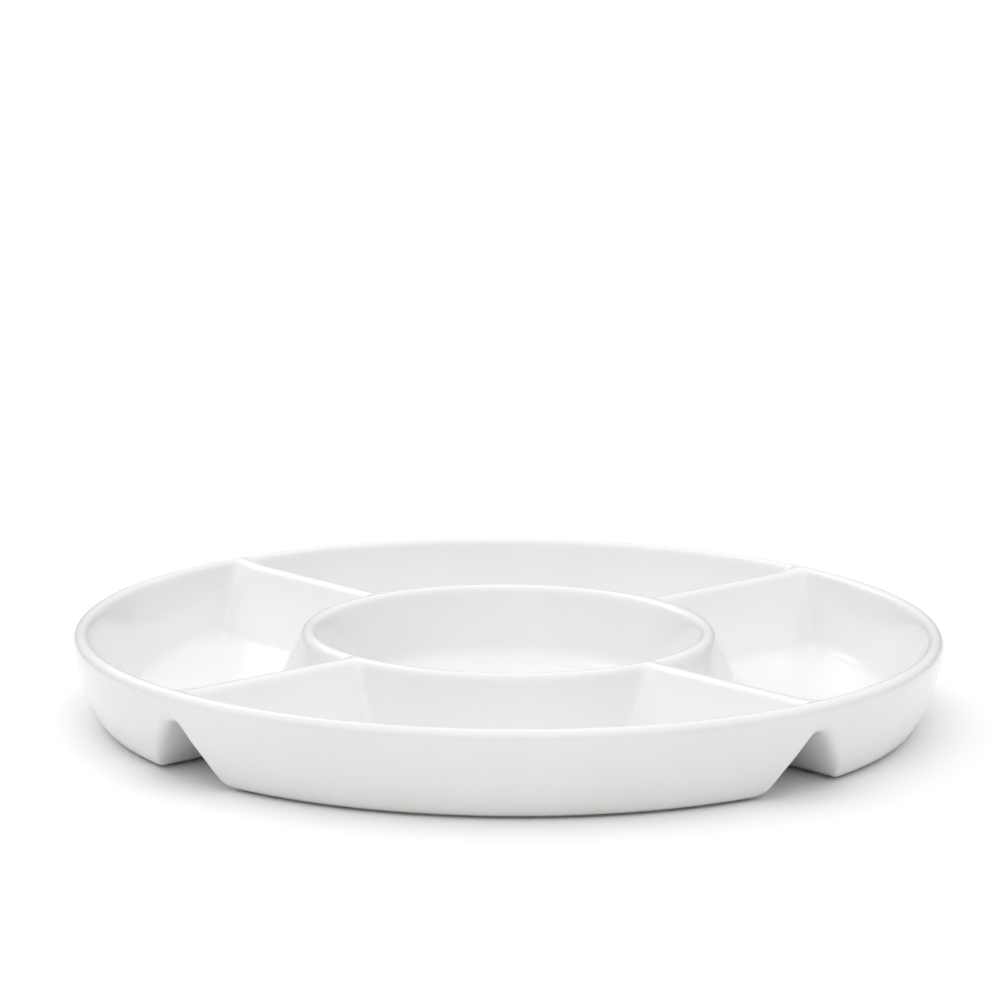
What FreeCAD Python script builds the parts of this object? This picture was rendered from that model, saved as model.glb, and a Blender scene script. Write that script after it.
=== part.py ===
import FreeCAD, Part
import math
import os

V = FreeCAD.Vector

# Round chip and dip server in glazed ceramic, in millimetres.
# The origin is the centre of its base and +Z is up. The four dividers lie at 45 degrees to
# X and Y, so the trays face front (-Y), right (+X), back (+Y) and left (-X).

# Overall size
RADIUS = 165.0             # outermost point of the lip
HEIGHT = 34.4              # table to the top of the outer rim
RIDGE_HEIGHT = 33.5        # top of the dividers and of the bowl's rim
SPLIT_HEIGHT = 22.0        # trays and bowl end here, just below the tops of the folds

# Outer wall, which bulges a little like the side of a bowl
BASE_RADIUS = 152.7
BASE_EDGE_ROUND = 1.6
WALL_PULL_OUT = 7.2        # direction of the wall at its bottom edge: this far out
WALL_PULL_UP = 4.2         # for this far up
WALL_UPRIGHT = 2.4         # the top of the wall straightens over this height
LIP_ROUND = 3.6
LIP_RUN = 12.0             # inside the lip the top sinks to the ridges over this distance

# Faces of the hollows: millimetres sideways for each millimetre down
DIVIDER_SLOPE = 0.78
BOWL_OUTSIDE_SLOPE = 0.445
BOWL_INSIDE_SLOPE = 0.47
OUTER_WALL_SLOPE = 0.488

# Hollows, where their faces meet the level of the ridges
BOWL_RADIUS = 72.9
TRAY_INNER_RADIUS = 78.3
TRAY_OUTER_RADIUS = 158.4
DIVIDER_HALF = 2.2
RIDGE_CORNER_ROUND = 4.5   # corners of a tray in plan
FLOOR_CORNER_ROUND = 9.8
CREST_ROUND = 3.6
FLOOR_HEIGHT = 6.5
FLOOR_ROUND = 9.0

# Underside: each divider and the bowl's rim is a fold of the wall, open below
UNDERSIDE_HEIGHT = 0.8
FOLD_TOP = 22.5
FOLD_EDGE_ROUND = 5.5
DIVIDER_FOLD_HALF = 20.0   # half of the fold's width where its faces would meet the table
DIVIDER_FOLD_SLOPE = 0.735
BOWL_FOLD_INNER = 63.8     # radii of the fold under the bowl's rim, also at the table
BOWL_FOLD_OUTER = 86.6

# Stretch of a divider between the webs that join it to the two rims
DIVIDER_START = 92.0
DIVIDER_END = 145.0

# Unglazed foot rings
FOOT_INSET = 1.2
FOOT_WIDTH = 4.5
FOOT_CORNER_ROUND = 7.0

TRAY_ANGLES = {"front": -90, "right": 0, "back": 90, "left": 180}
DIVIDER_ANGLES = {"back_right": 45, "back_left": 135, "front_left": 225, "front_right": 315}
REACH = 2 * RADIUS         # longer than anything that is cut


def line(start, end):
    return Part.LineSegment(start, end).toShape()


def arc(start, middle, end):
    return Part.Arc(start, middle, end).toShape()


def bezier(*poles):
    curve = Part.BezierCurve()
    curve.setPoles(list(poles))
    return curve.toShape()


def turned(shape, degrees):
    """A copy of a shape, turned about the vertical axis."""
    copy = shape.copy()
    copy.rotate(V(0, 0, 0), V(0, 0, 1), degrees)
    return copy


def revolved(edges):
    """A solid of revolution from a closed outline in the XZ plane."""
    return Part.Face(Part.Wire(edges)).revolve(V(0, 0, 0), V(0, 0, 1), 360)


def level_edges(shape, height):
    """The edges of a shape that lie flat at one height."""
    flat = []
    for edge in shape.Edges:
        box = edge.BoundBox
        if abs(box.ZMin - height) < 0.01 and abs(box.ZMax - height) < 0.01:
            flat.append(edge)
    return flat


def outer_form():
    """The whole dish as one solid disc, before its hollows and folds are cut."""
    lip_start = V(RADIUS, 0, HEIGHT - LIP_ROUND)
    lip_top = V(RADIUS - LIP_ROUND, 0, HEIGHT)
    lip_centre = V(lip_top.x, 0, lip_start.z)
    lip_middle = lip_centre + V(1, 0, 1).normalize() * LIP_ROUND
    ridge_start = V(lip_top.x - LIP_RUN, 0, RIDGE_HEIGHT)
    base_edge = V(BASE_RADIUS, 0, UNDERSIDE_HEIGHT)
    base_centre = V(0, 0, UNDERSIDE_HEIGHT)
    top_centre = V(0, 0, RIDGE_HEIGHT)
    wall = bezier(base_edge, base_edge + V(WALL_PULL_OUT, 0, WALL_PULL_UP),
                  lip_start - V(0, 0, WALL_UPRIGHT), lip_start)
    level_pull = V(LIP_RUN / 3, 0, 0)
    sinking = bezier(lip_top, lip_top - level_pull, ridge_start + level_pull, ridge_start)
    form = revolved([line(base_centre, base_edge), wall, arc(lip_start, lip_middle, lip_top), sinking,
                     line(ridge_start, top_centre), line(top_centre, base_centre)])
    return form.makeFillet(BASE_EDGE_ROUND, level_edges(form, UNDERSIDE_HEIGHT))


def tray_outline(height, inner, outer, offset, corner):
    """A quarter of a ring about +X with rounded corners, between walls offset from the diagonals."""
    points = {}
    for side in (1, -1):
        along = V(math.sqrt(0.5), side * math.sqrt(0.5), 0)
        across = V(math.sqrt(0.5), -side * math.sqrt(0.5), 0)
        for name, radius, sign in (("outer", outer, 1), ("inner", inner, -1)):
            reach = math.sqrt((radius - sign * corner) ** 2 - (offset + corner) ** 2)
            centre = along * reach + across * (offset + corner)
            outward = V(centre).normalize() * sign
            middle = centre + (outward - across).normalize() * corner
            points[name, side] = (along * reach + across * offset, middle, centre + outward * corner)
    edges = []
    for name, radius, side in (("outer", outer, -1), ("inner", inner, 1)):
        wall_point, middle, rim_point = points[name, side]
        far_wall_point, far_middle, far_rim_point = points[name, -side]
        other = "inner" if name == "outer" else "outer"
        edges.append(line(points[other, side][0], wall_point))
        edges.append(arc(wall_point, middle, rim_point))
        edges.append(arc(rim_point, V(radius, 0, 0), far_rim_point))
        edges.append(arc(far_rim_point, far_middle, far_wall_point))
    outline = Part.Wire(edges)
    outline.translate(V(0, 0, height))
    return outline


def tray_hollow(degrees):
    """The space inside one tray, with its floor rounded into its walls."""
    outlines = []
    for height in (FLOOR_HEIGHT, HEIGHT + 1):
        down = RIDGE_HEIGHT - height
        share = down / (RIDGE_HEIGHT - FLOOR_HEIGHT)
        corner = RIDGE_CORNER_ROUND + (FLOOR_CORNER_ROUND - RIDGE_CORNER_ROUND) * share
        outlines.append(tray_outline(height, TRAY_INNER_RADIUS + BOWL_OUTSIDE_SLOPE * down,
                                     TRAY_OUTER_RADIUS - OUTER_WALL_SLOPE * down,
                                     DIVIDER_HALF + DIVIDER_SLOPE * down, corner))
    hollow = Part.makeLoft(outlines, True, True)
    hollow = hollow.makeFillet(FLOOR_ROUND, level_edges(hollow, FLOOR_HEIGHT))
    return turned(hollow, degrees)


def bowl_hollow():
    """The space inside the dip bowl."""
    floor_radius = BOWL_RADIUS - BOWL_INSIDE_SLOPE * (RIDGE_HEIGHT - FLOOR_HEIGHT)
    top_radius = BOWL_RADIUS + BOWL_INSIDE_SLOPE * (HEIGHT - RIDGE_HEIGHT)
    corners = [V(0, 0, FLOOR_HEIGHT), V(floor_radius, 0, FLOOR_HEIGHT),
               V(top_radius, 0, HEIGHT), V(0, 0, HEIGHT)]
    hollow = revolved([line(corners[i - 1], corners[i]) for i in range(4)])
    return hollow.makeFillet(FLOOR_ROUND, level_edges(hollow, FLOOR_HEIGHT))


def crest_edges(body):
    """The edges where the hollows meet the top of the dish."""
    ridge_start = RADIUS - LIP_ROUND - LIP_RUN
    found = []
    for edge in body.Edges:
        if edge.BoundBox.ZMin < RIDGE_HEIGHT - 0.1:
            continue
        first, last = edge.ParameterRange
        points = [edge.valueAt(first + (last - first) * k / 4) for k in range(5)]
        radii = [math.hypot(point.x, point.y) for point in points]
        on_lip = max(radii) > RADIUS - LIP_ROUND - 0.2
        on_seam = max(abs(radius - ridge_start) for radius in radii) < 0.01
        if not on_lip and not on_seam:
            found.append(edge)
    return found


def fold_outline(left, right, left_slope, right_slope, place):
    """Section of a fold: two faces leaning together, a rounded top and rounded bottom edges."""
    peak_height = (right - left) / (left_slope + right_slope)
    peak = V(left + left_slope * peak_height, 0, peak_height)
    leans = [math.atan(left_slope), math.atan(right_slope)]
    half_angle = sum(leans) / 2
    top_round = (peak_height - FOLD_TOP) / (1 / math.sin(half_angle) - 1)
    down_face = top_round / math.tan(half_angle)
    base = UNDERSIDE_HEIGHT
    feet, shoulders = [], []
    for side, foot_x, slope, lean in ((-1, left, left_slope, leans[0]), (1, right, right_slope, leans[1])):
        corner = V(foot_x - side * slope * base, 0, base)
        run = FOLD_EDGE_ROUND * math.tan((math.pi / 2 - lean) / 2)
        outer_end = corner + V(side * run, 0, 0)
        face_end = corner + V(-side * run * math.sin(lean), 0, run * math.cos(lean))
        centre = outer_end + V(0, 0, FOLD_EDGE_ROUND)
        middle = centre + (corner - centre).normalize() * FOLD_EDGE_ROUND
        feet.append((outer_end, middle, face_end))
        shoulders.append(peak + V(side * math.sin(lean), 0, -math.cos(lean)) * down_face)
    top = V(peak.x, 0, FOLD_TOP)
    (left_end, left_middle, left_face), (right_end, right_middle, right_face) = feet
    runs = [(arc, left_end, left_middle, left_face), (line, left_face, shoulders[0]),
            (arc, shoulders[0], top, shoulders[1]), (line, shoulders[1], right_face),
            (arc, right_face, right_middle, right_end), (line, right_end, left_end)]
    return [make(*(place(point) for point in ends)) for make, *ends in runs]


def divider_fold(degrees):
    """The open space under one divider, from the fold under the bowl's rim out to the side."""
    start = (BOWL_FOLD_INNER + BOWL_FOLD_OUTER) / 2
    edges = fold_outline(-DIVIDER_FOLD_HALF, DIVIDER_FOLD_HALF, DIVIDER_FOLD_SLOPE, DIVIDER_FOLD_SLOPE,
                         lambda point: V(start, point.x, point.z))
    return turned(Part.Face(Part.Wire(edges)).extrude(V(REACH, 0, 0)), degrees)


def bowl_fold():
    """The ring of open space under the bowl's rim."""
    return revolved(fold_outline(BOWL_FOLD_INNER, BOWL_FOLD_OUTER, BOWL_INSIDE_SLOPE, BOWL_OUTSIDE_SLOPE,
                                 lambda point: point))


def dish():
    """The whole glazed form."""
    hollows = [tray_hollow(degrees) for degrees in TRAY_ANGLES.values()]
    body = outer_form().cut(hollows + [bowl_hollow()])
    body = body.makeFillet(CREST_ROUND, crest_edges(body))
    folds = [divider_fold(degrees) for degrees in DIVIDER_ANGLES.values()]
    return body.cut(folds + [bowl_fold()])


def facing(solid, angles):
    """The name of the direction in which a solid lies, or None at the centre."""
    centre = solid.CenterOfMass
    if math.hypot(centre.x, centre.y) < 1:
        return None
    angle = math.degrees(math.atan2(centre.y, centre.x))
    return min(angles, key=lambda name: abs((angle - angles[name] + 180) % 360 - 180))


def block(x_min, x_max, half_width, z_min, z_max):
    return Part.makeBox(x_max - x_min, 2 * half_width, z_max - z_min, V(x_min, -half_width, z_min))


def glazed_nodes():
    """The glazed form in its pieces: trays and bowl below, rims and dividers above."""
    body = dish()
    nodes = {}
    for solid in body.common(block(-REACH, REACH, REACH, 0, SPLIT_HEIGHT)).Solids:
        name = facing(solid, TRAY_ANGLES)
        nodes["chip_tray_" + name if name else "centre_dip_bowl"] = solid
    upper = body.common(block(-REACH, REACH, REACH, SPLIT_HEIGHT, 2 * HEIGHT))
    stretch = block(DIVIDER_START, DIVIDER_END, DIVIDER_START / 2, SPLIT_HEIGHT, 2 * HEIGHT)
    stretches = {name: turned(stretch, degrees) for name, degrees in DIVIDER_ANGLES.items()}
    for name, blade in stretches.items():
        nodes["divider_ridge_" + name] = upper.common(blade)
    rims = sorted(upper.cut(list(stretches.values())).Solids, key=lambda solid: solid.BoundBox.XLength)
    nodes["bowl_rim"], nodes["outer_rim"] = rims
    return nodes


def fold_edge_run(slope):
    """How far the rounded bottom edge of a fold reaches past its sharp corner."""
    return FOLD_EDGE_ROUND * math.tan((math.pi / 2 - math.atan(slope)) / 2)


def foot_ring(outlines):
    """A flat ring between two outlines, from the table up to the underside."""
    faces = [Part.Face(outline) for outline in outlines]
    return faces[0].cut(faces[1]).extrude(V(0, 0, UNDERSIDE_HEIGHT))


def foot_nodes():
    inner = BOWL_FOLD_OUTER - BOWL_OUTSIDE_SLOPE * UNDERSIDE_HEIGHT + fold_edge_run(BOWL_OUTSIDE_SLOPE)
    offset = DIVIDER_FOLD_HALF - DIVIDER_FOLD_SLOPE * UNDERSIDE_HEIGHT + fold_edge_run(DIVIDER_FOLD_SLOPE)
    outer = BASE_RADIUS - BASE_EDGE_ROUND
    outlines = []
    for inset in (FOOT_INSET, FOOT_INSET + FOOT_WIDTH):
        corner = FOOT_CORNER_ROUND + FOOT_INSET - inset
        outlines.append(tray_outline(0, inner + inset, outer - inset, offset + inset, corner))
    nodes = {}
    for name, degrees in TRAY_ANGLES.items():
        nodes["foot_ring_" + name] = turned(foot_ring(outlines), degrees)
    bowl_edge = BOWL_FOLD_INNER + BOWL_INSIDE_SLOPE * UNDERSIDE_HEIGHT - fold_edge_run(BOWL_INSIDE_SLOPE)
    rings = []
    for inset in (FOOT_INSET, FOOT_INSET + FOOT_WIDTH):
        rings.append(Part.Wire(Part.makeCircle(bowl_edge - inset)))
    nodes["foot_ring_centre"] = foot_ring(rings)
    return nodes


def main():
    os.makedirs("parts", exist_ok=True)
    nodes = glazed_nodes()
    nodes.update(foot_nodes())
    for name, shape in nodes.items():
        solid = shape.Solids[0]
        assert len(shape.Solids) == 1 and solid.isValid(), name
        solid.exportStep(f"parts/{name}.step")
        print(f"{name:28s} {solid.Volume / 1000:8.2f} cm3")


main()
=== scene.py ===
"""Looks for the chip and dip server: one white-glazed casting on five bare-clay foot rings."""

import math

import bmesh
import bpy
import numpy as np
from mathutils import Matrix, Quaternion, Vector


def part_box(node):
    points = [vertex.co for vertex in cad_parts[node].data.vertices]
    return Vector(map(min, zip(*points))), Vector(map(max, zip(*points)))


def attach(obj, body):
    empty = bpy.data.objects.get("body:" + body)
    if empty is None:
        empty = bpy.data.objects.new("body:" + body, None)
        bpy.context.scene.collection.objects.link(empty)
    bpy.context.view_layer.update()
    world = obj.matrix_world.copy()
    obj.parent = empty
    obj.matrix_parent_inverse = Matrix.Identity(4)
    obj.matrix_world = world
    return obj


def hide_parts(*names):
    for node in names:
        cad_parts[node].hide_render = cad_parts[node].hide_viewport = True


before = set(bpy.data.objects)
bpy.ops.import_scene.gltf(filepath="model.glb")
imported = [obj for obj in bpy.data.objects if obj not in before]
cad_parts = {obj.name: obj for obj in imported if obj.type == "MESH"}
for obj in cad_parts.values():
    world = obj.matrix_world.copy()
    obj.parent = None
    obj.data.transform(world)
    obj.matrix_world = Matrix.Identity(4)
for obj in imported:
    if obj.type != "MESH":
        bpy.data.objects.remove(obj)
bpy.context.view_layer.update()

MM = 0.001
TRAYS = ("front", "right", "back", "left")
DIVIDER_ANGLES = {"front_left": 225, "front_right": 315, "back_right": 45, "back_left": 135}

# Sizes that the CAD model gives, in millimetres
RIM_LOW, RIM_HIGH = (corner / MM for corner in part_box("outer_rim"))
RADIUS = min(RIM_HIGH.x, RIM_HIGH.y, -RIM_LOW.x, -RIM_LOW.y)
HEIGHT = RIM_HIGH.z
SPLIT_HEIGHT = RIM_LOW.z
RIDGE_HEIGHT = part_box("bowl_rim")[1].z / MM
UNDERSIDE_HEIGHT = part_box("foot_ring_front")[1].z / MM

# Walls: how far a face moves sideways for each millimetre down, and the round of its crest
BOWL_RIDGE_RADIUS = 75.6
FLOOR_HEIGHT = 6.5
FLOOR_ROUND = 9.0
LIP_ROUND = 3.6
LIP_RUN = 12.0
DIVIDER_WALL = {"slope": 0.78, "crest": 5.0}
BOWL_INSIDE = {"slope": 0.47, "crest": 3.8}
BOWL_OUTSIDE = {"slope": 0.445, "crest": 3.8}
OUTER_WALL = {"slope": 0.488, "crest": 3.4}

# How gently a divider runs into the wall at each of its ends
CORNER_AT_BOWL = 1.9
CORNER_AT_RIM = 2.7

# Underside folds
FOLD_TOP = 22.5
FOLD_EDGE_ROUND = 5.5
DIVIDER_FOLD = {"slope": 0.735, "half": 20.0}
BOWL_FOLD_INSIDE = {"slope": 0.47, "half": 11.8}
BOWL_FOLD_OUTSIDE = {"slope": 0.445, "half": 11.0}

# Outer wall: its curve leaves the base outwards and ends upright under the lip. The round of its
# bottom edge grows from the base's to the notch's as the notch rises.
BASE_RADIUS = 152.7
WALL_PULL_OUT = 7.2
WALL_PULL_UP = 4.2
WALL_UPRIGHT = 2.4
BASE_EDGE_ROUND = 1.6
NOTCH_EDGE_ROUND = 5.5
NOTCH_EDGE_RISE = 8.0

# Where a divider is cut from the two rims, and how far to its side its faces may lie
DIVIDER_START = 92.0
DIVIDER_END = 145.0
DIVIDER_SIDE = 46.0

# Studio: light from all round, wide soft glows (direction, narrowness, strength) and a softbox
ROOM_GLOW = 0.04
SOFT_GLOWS = (
    ((0, 0, 1), 1, 1.43),
    ((0, 1, 0), 1, 0.16),
    ((-1, 0, 0.1), 1, 0.1),
    ((0, -0.7, 0.7), 6, 0.22),
)
KEY_PLACE = (-0.68, 0.93, 0.96)
KEY_SIZE = (0.7, 0.7)
KEY_POWER = 1.5

# Camera: lens in millimetres, place in metres and degrees round the dish, aim in millimetres
LENS = 150.77
VIEW_DISTANCE = 1.6
VIEW_AZIMUTH = 2.2
VIEW_ELEVATION = 14.03
VIEW_ROLL = 0.391
VIEW_AIM = (-3.534, 0, 82.46)

# Half of the floor's width, in metres
FLOOR_HALF = 12.0


def wall(distance, slope, crest):
    """Depth and slope of a wall at a level distance from its crest line: a round crest, then a
    straight face that has no end."""
    steep = math.hypot(1, slope)
    crest_end = crest / steep
    d = np.abs(distance)
    on_crest = crest - np.sqrt(np.maximum(crest ** 2 - np.minimum(d, crest_end) ** 2, 0))
    on_face = crest * (1 - slope / steep) + (d - crest_end) / slope
    return np.where(d < crest_end, on_crest, on_face), slope


def meet(first, second, corner):
    """The nearer of two walls, as depth and slope, with a rounded corner between them."""
    shallow = np.minimum(first[0], second[0])
    gap = second[0] - first[0]
    width = corner * (1 - np.exp(-shallow / corner)) + 0.001
    depth = shallow - width * np.log1p(np.exp(-np.abs(gap) / width))
    share = 1 / (1 + np.exp(np.clip(-gap / width, -50, 50)))
    return depth, second[1] + (first[1] - second[1]) * share


def floored(depth, slope):
    """Depth of a hollow whose walls run into its floor through a round."""
    floor = RIDGE_HEIGHT - FLOOR_HEIGHT
    steep = np.sqrt(1 + slope ** 2)
    run = FLOOR_ROUND * np.tan((math.pi / 2 - np.arctan(slope)) / 2)
    face_end = floor - run / steep
    reach = np.clip(run * (1 + slope / steep) - (depth - face_end) * slope, 0, FLOOR_ROUND)
    on_round = floor - FLOOR_ROUND + np.sqrt(FLOOR_ROUND ** 2 - reach ** 2)
    return np.where(depth < face_end, depth, on_round)


def fold_height(distance, slope, half):
    """Height of a fold's roof above the underside at a level distance from its middle."""
    lean = math.atan(slope)
    steep = math.hypot(1, slope)
    peak = half / slope
    top_round = (peak - FOLD_TOP) / (steep / slope - 1)
    top_end = top_round / steep
    base_corner = half - slope * UNDERSIDE_HEIGHT
    run = FOLD_EDGE_ROUND * math.tan((math.pi / 2 - lean) / 2)
    face_end = base_corner - run * slope / steep
    flat_start = base_corner + run
    d = np.abs(distance)
    centre = FOLD_TOP - top_round
    on_top = centre + np.sqrt(np.maximum(top_round ** 2 - np.minimum(d, top_end) ** 2, 0))
    on_face = (half - d) / slope
    reach = np.clip(flat_start - d, 0, FOLD_EDGE_ROUND)
    on_edge = UNDERSIDE_HEIGHT + FOLD_EDGE_ROUND - np.sqrt(FOLD_EDGE_ROUND ** 2 - reach ** 2)
    height = np.where(d < top_end, on_top, on_face)
    height = np.where(d > face_end, on_edge, height)
    return np.where(d > flat_start, UNDERSIDE_HEIGHT, height) - UNDERSIDE_HEIGHT


def top_height(radius, offset):
    """Upper surface: the hollows sink from a level that rises a little towards the lip."""
    crest = RADIUS - LIP_ROUND
    rise = np.clip((radius - crest + LIP_RUN) / LIP_RUN, 0, 1)
    level = RIDGE_HEIGHT + (HEIGHT - RIDGE_HEIGHT) * rise ** 2 * (3 - 2 * rise)
    ring = radius - BOWL_RIDGE_RADIUS
    bowl = floored(*wall(ring, **BOWL_INSIDE))
    walls = meet(wall(ring, **BOWL_OUTSIDE), wall(offset, **DIVIDER_WALL), CORNER_AT_BOWL)
    tray = floored(*meet(walls, wall(crest - radius, **OUTER_WALL), CORNER_AT_RIM))
    return level - np.where(ring < 0, bowl, tray)


def under_height(radius, offset):
    """Underside: a flat base with the folds under the bowl's rim and the dividers."""
    full = FOLD_TOP - UNDERSIDE_HEIGHT
    inside = radius < BOWL_RIDGE_RADIUS
    ring = radius - BOWL_RIDGE_RADIUS
    bowl = np.where(inside, fold_height(ring, **BOWL_FOLD_INSIDE),
                    fold_height(ring, **BOWL_FOLD_OUTSIDE))
    divider = np.where(inside, 0, fold_height(offset, **DIVIDER_FOLD))
    return UNDERSIDE_HEIGHT + full * (1 - (1 - bowl / full) * (1 - divider / full))


WALL_SAMPLES = 400


def bezier(poles, share):
    """Points on a cubic curve."""
    a, b, c, d = (np.array(pole)[:, None] for pole in poles)
    rest = 1 - share
    return a * rest ** 3 + 3 * b * rest ** 2 * share + 3 * c * rest * share ** 2 + d * share ** 3


def wall_radius(height):
    """Radius of the outer wall at a height, along the curve from its base to the lip."""
    base = (BASE_RADIUS, UNDERSIDE_HEIGHT)
    lip = (RADIUS, HEIGHT - LIP_ROUND)
    leaving = (base[0] + WALL_PULL_OUT, base[1] + WALL_PULL_UP)
    arriving = (lip[0], lip[1] - WALL_UPRIGHT)
    poles = (base, leaving, arriving, lip)
    radii, heights = bezier(poles, np.linspace(0, 1, WALL_SAMPLES))
    return np.interp(height, heights, radii)


# Columns of the mesh: beside each divider they run parallel to it, one step apart, and between
# these they fan out evenly. Inside the bowl all of them run to the centre.
COLUMN_STEP = 0.75
PARALLEL_COLUMNS = 44
FAN_COLUMNS = 48
QUARTER_COLUMNS = 2 * PARALLEL_COLUMNS + FAN_COLUMNS

# Rows of the mesh: stretches of radius (start, end, rows), close together on the ridges and folds,
# and the number of rows round the lip, down the wall, round its bottom edge and in to the base
BOWL_STRETCHES = ((1, 49, 8), (49, 68, 18), (68, 99, 48), (99, 135, 10))
OUTER_START = 135
OUTER_ROWS = 42
LIP_ROWS = 10
WALL_ROWS = 20
EDGE_ROWS = 8
MARGIN_ROWS = 4
UNDER_STRETCHES = ((142, 95, 12), (95, 57, 38), (57, 1, 8))


def column_angles(radius):
    """For rows of radii (rows x columns), the angle of every column from +X, and its distance
    from the nearest divider's middle line."""
    step = COLUMN_STEP * np.minimum(radius / BOWL_RIDGE_RADIUS, 1)
    edge = np.arcsin(np.clip(PARALLEL_COLUMNS * step / np.maximum(radius, 1e-6), -1, 1))
    angles = []
    for column in range(4 * QUARTER_COLUMNS):
        quarter, place = divmod(column, QUARTER_COLUMNS)
        r, s, e = radius[:, column], step[:, column], edge[:, column]
        if place <= PARALLEL_COLUMNS:
            turn = np.arcsin(place * s / np.maximum(r, 1e-6))
        elif place < PARALLEL_COLUMNS + FAN_COLUMNS:
            turn = e + (math.pi / 2 - 2 * e) * (place - PARALLEL_COLUMNS) / FAN_COLUMNS
        else:
            turn = math.pi / 2 - np.arcsin((QUARTER_COLUMNS - place) * s / np.maximum(r, 1e-6))
        angles.append(math.pi / 4 + quarter * math.pi / 2 + turn)
    angles = np.stack(angles, axis=1)
    from_divider = (angles + math.pi / 4) % (math.pi / 2)
    offset = radius * np.sin(np.minimum(from_divider, math.pi / 2 - from_divider))
    return angles, offset


def steps(*stretches):
    """Values from the first stretch's start to the last one's end, each stretch in equal steps."""
    values = [stretches[0][0]]
    for start, end, count in stretches:
        values.extend(start + (end - start) * (k + 1) / count for k in range(count))
    return np.array(values)


def same_all_round(values):
    return np.repeat(np.asarray(values, float)[:, None], 4 * QUARTER_COLUMNS, axis=1)


def dish_grid():
    """Rows of points from the middle of the bowl's floor out over the lip, down the outer wall
    and back under the base to the middle."""
    crest = RADIUS - LIP_ROUND
    top = same_all_round(steps(*BOWL_STRETCHES, (OUTER_START, crest, OUTER_ROWS)))
    angles, offset = column_angles(top)
    blocks = [(top, angles, top_height(top, offset))]

    lip_turn = np.linspace(0, math.pi / 2, LIP_ROWS + 1)[1:]
    radius = same_all_round(crest + LIP_ROUND * np.sin(lip_turn))
    height = same_all_round(HEIGHT - LIP_ROUND + LIP_ROUND * np.cos(lip_turn))
    blocks.append((radius, column_angles(radius)[0], height))

    rim = same_all_round([RADIUS])
    bottom = under_height(rim, column_angles(rim)[1])[0]
    notch = np.clip((bottom - UNDERSIDE_HEIGHT) / NOTCH_EDGE_RISE, 0, 1)
    edge_round = BASE_EDGE_ROUND + (NOTCH_EDGE_ROUND - BASE_EDGE_ROUND) * notch ** 2 * (3 - 2 * notch)
    lowest = bottom + edge_round
    share = np.linspace(0, 1, WALL_ROWS + 1)[1:, None]
    height = (HEIGHT - LIP_ROUND) * (1 - share) + lowest * share
    radius = wall_radius(height)
    blocks.append((radius, column_angles(radius)[0], height))

    turned_in = wall_radius(bottom) - edge_round
    share = np.linspace(0, 1, EDGE_ROWS + 1)[1:, None]
    radius = (wall_radius(lowest) * (1 - share) ** 2 + 2 * wall_radius(bottom) * share * (1 - share)
              + turned_in * share ** 2)
    height = lowest * (1 - share) ** 2 + 2 * bottom * share * (1 - share) + bottom * share ** 2
    blocks.append((radius, column_angles(radius)[0], height))

    share = np.linspace(0, 1, MARGIN_ROWS + 1)[1:, None]
    radius = turned_in * (1 - share) + UNDER_STRETCHES[0][0] * share
    angles, offset = column_angles(radius)
    blocks.append((radius, angles, under_height(radius, offset)))
    radius = same_all_round(steps(*UNDER_STRETCHES)[1:])
    angles, offset = column_angles(radius)
    blocks.append((radius, angles, under_height(radius, offset)))
    return [np.concatenate(part) for part in zip(*blocks)]


def dish_mesh():
    """The whole casting as one closed mesh, before it is cut into its pieces."""
    radius, angles, height = dish_grid()
    rows, columns = radius.shape
    points = np.stack([radius * np.cos(angles), radius * np.sin(angles), height], axis=2) * MM
    middle = [(0, 0, FLOOR_HEIGHT * MM), (0, 0, UNDERSIDE_HEIGHT * MM)]
    vertices = np.concatenate([points.reshape(-1, 3), middle])
    here = np.arange(columns)
    beside = (here + 1) % columns
    faces = []
    for row in range(rows - 1):
        a, b = row * columns, (row + 1) * columns
        faces.extend(zip(a + here, b + here, b + beside, a + beside))
    first, last = rows * columns, rows * columns + 1
    faces.extend((first, here[k], beside[k]) for k in range(columns))
    end = (rows - 1) * columns
    faces.extend((last, end + beside[k], end + here[k]) for k in range(columns))
    mesh = bpy.data.meshes.new("dish")
    mesh.from_pydata(vertices.tolist(), [], [tuple(int(i) for i in face) for face in faces])
    return mesh


def direction(degrees):
    return Vector((math.cos(math.radians(degrees)), math.sin(math.radians(degrees)), 0))


def divider_place(point, along):
    """How far a point lies out along a divider, and to its side, in millimetres."""
    return point.dot(along) / MM, along.cross(point).z / MM


def lower_name(centre):
    """Which tray or bowl a face below the split belongs to."""
    if centre.xy.length < BOWL_RIDGE_RADIUS * MM:
        return "centre_dip_bowl"
    side = round(math.degrees(math.atan2(centre.y, centre.x)) / 90) % 4
    return "chip_tray_" + ("right", "back", "left", "front")[side]


def upper_name(centre):
    """Which divider or rim a face above the split belongs to."""
    for name, degrees in DIVIDER_ANGLES.items():
        reach, across = divider_place(centre, direction(degrees))
        if DIVIDER_START < reach < DIVIDER_END and abs(across) < DIVIDER_SIDE:
            return "divider_ridge_" + name
    halfway = (DIVIDER_START + DIVIDER_END) / 2 * MM
    return "bowl_rim" if centre.xy.length < halfway else "outer_rim"


def slice_at(cells, plane, faces):
    """Adds edges where a plane crosses some faces."""
    edges = {edge for face in faces for edge in face.edges}
    vertices = {vertex for face in faces for vertex in face.verts}
    bmesh.ops.bisect_plane(cells, geom=[*faces, *edges, *vertices], dist=1e-7,
                           plane_co=plane[0], plane_no=plane[1])


def cap(cells, plane):
    """Closes the open edges that lie on a plane."""
    flat = {vertex for vertex in cells.verts if abs((vertex.co - plane[0]).dot(plane[1])) < 1e-6}
    edges = [edge for edge in cells.edges if edge.is_boundary and set(edge.verts) <= flat]
    if edges:
        bmesh.ops.triangle_fill(cells, use_beauty=True, edges=edges, normal=plane[1])


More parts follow.
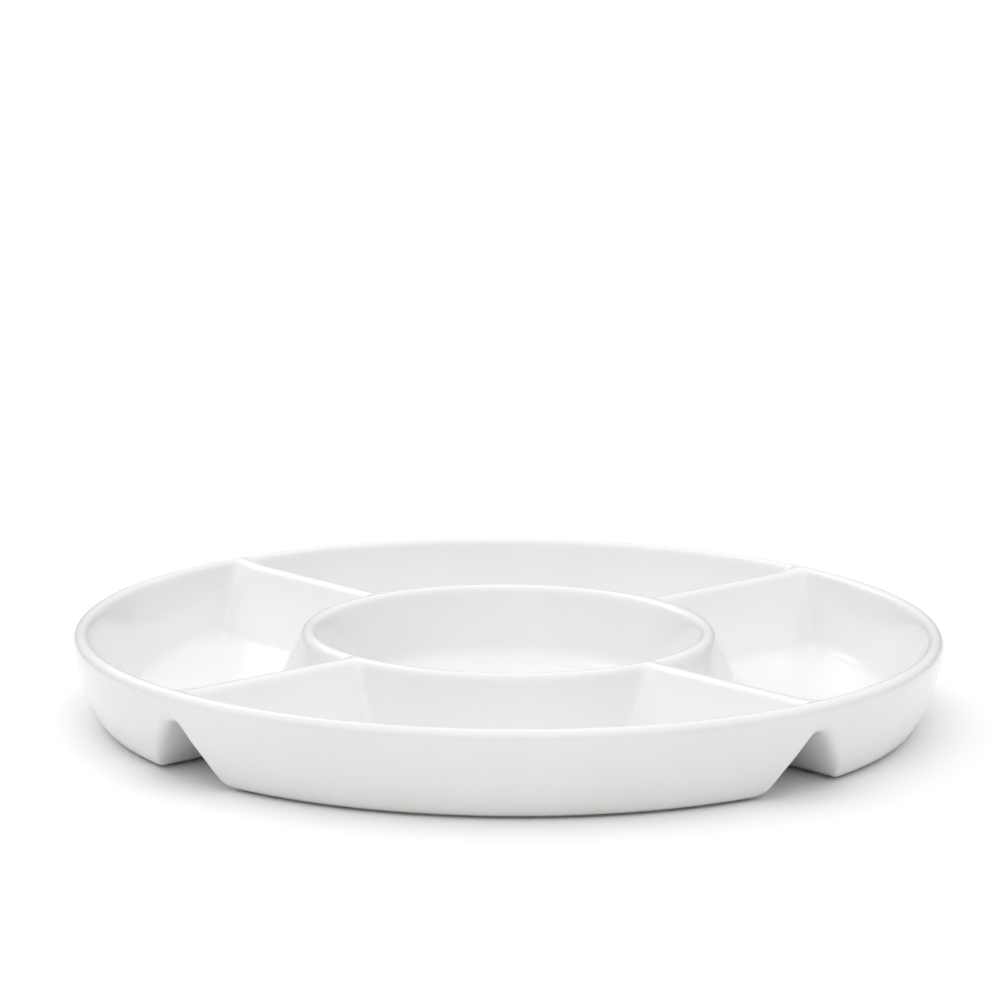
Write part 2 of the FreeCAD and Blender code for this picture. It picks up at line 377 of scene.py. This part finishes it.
def keep_faces(cells, wanted):
    """A copy of the mesh with only the faces that are wanted."""
    copy = cells.copy()
    others = [face for face in copy.faces if not wanted(face.calc_center_median())]
    bmesh.ops.delete(copy, geom=others, context="FACES")
    return copy


def whole_dish():
    """The dish as cells that remember their normals and which of them are glazed surface."""
    cells = bmesh.new()
    cells.from_mesh(dish_mesh())
    normals = cells.verts.layers.float_vector.new("glaze_normal")
    glazed = cells.faces.layers.int.new("glazed")
    cells.normal_update()
    for vertex in cells.verts:
        vertex[normals] = vertex.normal
    for face in cells.faces:
        face[glazed] = 1
    return cells


def cut_dish():
    """The capped lower and upper parts of the dish, and the planes at the dividers' ends."""
    cells = whole_dish()
    split = (Vector((0, 0, SPLIT_HEIGHT * MM)), Vector((0, 0, 1)))
    slice_at(cells, split, cells.faces[:])
    lower = keep_faces(cells, lambda centre: centre.z < SPLIT_HEIGHT * MM)
    upper = keep_faces(cells, lambda centre: centre.z > SPLIT_HEIGHT * MM)
    cells.free()
    cap(lower, split)
    cap(upper, split)
    ends = []
    for degrees in DIVIDER_ANGLES.values():
        along = direction(degrees)
        for distance in (DIVIDER_START, DIVIDER_END):
            near = []
            for face in upper.faces:
                places = [divider_place(vertex.co, along) for vertex in face.verts]
                reaches = [reach for reach, _ in places]
                if min(reaches) < distance < max(reaches) and abs(places[0][1]) < DIVIDER_SIDE:
                    near.append(face)
            ends.append((along * distance * MM, along))
            slice_at(upper, ends[-1], near)
    return lower, upper, ends


def piece_object(cells, name_of, name, ends):
    """One piece, closed, shaded with the whole dish's normals so that no joint shows."""
    part = keep_faces(cells, lambda centre: name_of(centre) == name)
    for plane in ends:
        cap(part, plane)
    bmesh.ops.recalc_face_normals(part, faces=part.faces[:])
    normals = part.verts.layers.float_vector["glaze_normal"]
    glazed = part.faces.layers.int["glazed"]
    corner_normals = []
    for face in part.faces:
        face.smooth = True
        for loop in face.loops:
            normal = loop.vert[normals].normalized() if face[glazed] else face.normal.copy()
            corner_normals.append(normal)
    mesh = bpy.data.meshes.new(name)
    part.to_mesh(mesh)
    part.free()
    mesh.normals_split_custom_set(corner_normals)
    piece = bpy.data.objects.new(name + "_glazed", mesh)
    bpy.context.scene.collection.objects.link(piece)
    return piece


def tree_of(material):
    material.use_nodes = True
    return material.node_tree.nodes, material.node_tree.links


def noise(nodes, links, place, scale, detail):
    """A cloudy pattern whose patches are about one metre over the scale across."""
    texture = nodes.new("ShaderNodeTexNoise")
    texture.inputs["Scale"].default_value = scale
    texture.inputs["Detail"].default_value = detail
    links.new(place, texture.inputs["Vector"])
    return texture.outputs["Fac"]


def two_tone(nodes, links, pattern, low, high):
    """A colour that follows a pattern: each tone is its position in the pattern and its colour."""
    ramp = nodes.new("ShaderNodeValToRGB")
    for element, (position, colour) in zip(ramp.color_ramp.elements, (low, high)):
        element.position = position
        element.color = (*colour, 1)
    links.new(pattern, ramp.inputs["Fac"])
    return ramp.outputs["Color"]


def bumped(nodes, links, pattern, strength, depth, beneath=None):
    """A normal that follows a pattern's height, in metres, over another normal."""
    bump = nodes.new("ShaderNodeBump")
    bump.inputs["Strength"].default_value = strength
    bump.inputs["Distance"].default_value = depth
    links.new(pattern, bump.inputs["Height"])
    if beneath:
        links.new(beneath, bump.inputs["Normal"])
    return bump.outputs["Normal"]


def glaze_material():
    """White gloss glaze under a clear coat: faint warm and cool clouds, a slow ripple, a fine
    orange peel, pinholes here and there, and a gloss that is not quite even."""
    material = bpy.data.materials.new("white_glaze")
    nodes, links = tree_of(material)
    shader = nodes["Principled BSDF"]
    shader.inputs["IOR"].default_value = 1.5
    shader.inputs["Coat Weight"].default_value = 0.3
    shader.inputs["Coat Roughness"].default_value = 0.05
    place = nodes.new("ShaderNodeTexCoord").outputs["Object"]

    clouds = noise(nodes, links, place, 22, 4)
    white = two_tone(nodes, links, clouds,
                     (0.35, (0.858, 0.854, 0.844)), (0.65, (0.880, 0.879, 0.875)))
    specks = nodes.new("ShaderNodeTexVoronoi")
    specks.inputs["Scale"].default_value = 85
    links.new(place, specks.inputs["Vector"])
    pinholes = two_tone(nodes, links, specks.outputs["Distance"],
                        (0.02, (0, 0, 0)), (0.045, (1, 1, 1)))
    links.new(white, shader.inputs["Base Color"])

    gloss = nodes.new("ShaderNodeMapRange")
    gloss.inputs["To Min"].default_value = 0.12
    gloss.inputs["To Max"].default_value = 0.24
    links.new(noise(nodes, links, place, 140, 3), gloss.inputs["Value"])
    links.new(gloss.outputs["Result"], shader.inputs["Roughness"])

    surface = bumped(nodes, links, noise(nodes, links, place, 45, 2), 0.05, 0.0006)
    surface = bumped(nodes, links, noise(nodes, links, place, 420, 2), 0.03, 0.0002, surface)
    surface = bumped(nodes, links, pinholes, 0.2, 0.0001, surface)
    links.new(surface, shader.inputs["Normal"])
    return material


def clay_material():
    """Fired bare clay, ground flat: warm off-white and matt, with fine grain and dark grog specks."""
    material = bpy.data.materials.new("bare_clay")
    nodes, links = tree_of(material)
    shader = nodes["Principled BSDF"]
    shader.inputs["Roughness"].default_value = 0.85
    place = nodes.new("ShaderNodeTexCoord").outputs["Object"]
    grain = noise(nodes, links, place, 900, 6)
    clay = two_tone(nodes, links, grain, (0.3, (0.62, 0.56, 0.47)), (0.7, (0.74, 0.69, 0.60)))
    blush = two_tone(nodes, links, noise(nodes, links, place, 40, 2),
                     (0.4, (0.93, 0.88, 0.80)), (0.6, (1, 1, 1)))
    grog = nodes.new("ShaderNodeTexVoronoi")
    grog.inputs["Scale"].default_value = 500
    links.new(place, grog.inputs["Vector"])
    specks = two_tone(nodes, links, grog.outputs["Distance"],
                      (0.08, (0.55, 0.47, 0.38)), (0.16, (1, 1, 1)))
    colour = clay
    for layer in (blush, specks):
        product = nodes.new("ShaderNodeMixRGB")
        product.blend_type = "MULTIPLY"
        product.inputs["Fac"].default_value = 1
        links.new(colour, product.inputs["Color1"])
        links.new(layer, product.inputs["Color2"])
        colour = product.outputs["Color"]
    links.new(colour, shader.inputs["Base Color"])
    links.new(bumped(nodes, links, grain, 0.3, 0.0003), shader.inputs["Normal"])
    return material


def floor_material():
    material = bpy.data.materials.new("pale_floor")
    nodes, links = tree_of(material)
    shader = nodes["Principled BSDF"]
    shader.inputs["Base Color"].default_value = (0.96, 0.96, 0.96, 1)
    shader.inputs["Roughness"].default_value = 0.9
    shader.inputs["Specular IOR Level"].default_value = 0.2
    return material


def build_glazed():
    glaze = glaze_material()
    lower, upper, ends = cut_dish()
    lower_names = ["centre_dip_bowl"] + ["chip_tray_" + tray for tray in TRAYS]
    upper_names = ["bowl_rim", "outer_rim"] + ["divider_ridge_" + place for place in DIVIDER_ANGLES]
    for cells, name_of, names in ((lower, lower_name, lower_names), (upper, upper_name, upper_names)):
        for name in names:
            piece = piece_object(cells, name_of, name, ends)
            piece.data.materials.append(glaze)
            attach(piece, "root")
            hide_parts(name)
        cells.free()


def dress_feet():
    clay = clay_material()
    for place in (*TRAYS, "centre"):
        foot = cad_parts["foot_ring_" + place]
        foot.data.materials.clear()
        foot.data.materials.append(clay)


def build_floor():
    mesh = bpy.data.meshes.new("floor")
    corners = [(x * FLOOR_HALF, y * FLOOR_HALF, 0) for x, y in ((-1, -1), (1, -1), (1, 1), (-1, 1))]
    mesh.from_pydata(corners, [], [(0, 1, 2, 3)])
    floor = bpy.data.objects.new("floor", mesh)
    mesh.materials.append(floor_material())
    bpy.context.scene.collection.objects.link(floor)


def build_camera():
    """A long lens a little above the table, aimed above the dish so that it sits low in view."""
    data = bpy.data.cameras.new("camera")
    data.lens = LENS
    data.sensor_width = 36
    data.clip_end = 60
    camera = bpy.data.objects.new("camera", data)
    azimuth, elevation = math.radians(VIEW_AZIMUTH), math.radians(VIEW_ELEVATION)
    level = math.cos(elevation)
    way = Vector((math.sin(azimuth) * level, -math.cos(azimuth) * level, math.sin(elevation)))
    camera.location = VIEW_DISTANCE * way
    facing = (Vector(VIEW_AIM) * MM - camera.location).to_track_quat("-Z", "Y")
    roll = Quaternion((0, 0, 1), math.radians(VIEW_ROLL))
    camera.rotation_mode = "QUATERNION"
    camera.rotation_quaternion = facing @ roll
    bpy.context.scene.collection.objects.link(camera)
    bpy.context.scene.camera = camera


def area_light(name, place, size, power):
    """A softbox at a place, facing the dish."""
    data = bpy.data.lights.new(name, "AREA")
    data.shape = "RECTANGLE"
    data.size, data.size_y = size
    data.energy = power
    light = bpy.data.objects.new(name, data)
    light.location = place
    light.rotation_mode = "QUATERNION"
    light.rotation_quaternion = (-Vector(place)).to_track_quat("-Z", "Y")
    bpy.context.scene.collection.objects.link(light)


def build_lights():
    """A white room with wide soft glows, and one softbox high behind the dish on its left."""
    world = bpy.data.worlds.new("studio")
    bpy.context.scene.world = world
    world.use_nodes = True
    nodes, links = world.node_tree.nodes, world.node_tree.links
    background = nodes["Background"]
    background.inputs["Color"].default_value = (1, 1, 1, 1)
    way = nodes.new("ShaderNodeTexCoord").outputs["Generated"]
    total = nodes.new("ShaderNodeValue").outputs[0]
    total.default_value = ROOM_GLOW
    for axis, narrowness, strength in SOFT_GLOWS:
        facing = nodes.new("ShaderNodeVectorMath")
        facing.operation = "DOT_PRODUCT"
        facing.inputs[1].default_value = Vector(axis).normalized()
        links.new(way, facing.inputs[0])
        glow = facing.outputs["Value"]
        for operation, value in (("MAXIMUM", 0), ("POWER", narrowness), ("MULTIPLY", strength)):
            step = nodes.new("ShaderNodeMath")
            step.operation = operation
            step.inputs[1].default_value = value
            links.new(glow, step.inputs[0])
            glow = step.outputs[0]
        added = nodes.new("ShaderNodeMath")
        links.new(total, added.inputs[0])
        links.new(glow, added.inputs[1])
        total = added.outputs[0]
    links.new(total, background.inputs["Strength"])
    area_light("key_softbox", KEY_PLACE, KEY_SIZE, KEY_POWER)


def build_look():
    view = bpy.context.scene.view_settings
    view.view_transform = "Standard"
    view.look = "None"
    view.exposure = 0
    view.gamma = 1


build_glazed()
dress_feet()
build_floor()
build_camera()
build_lights()
build_look()
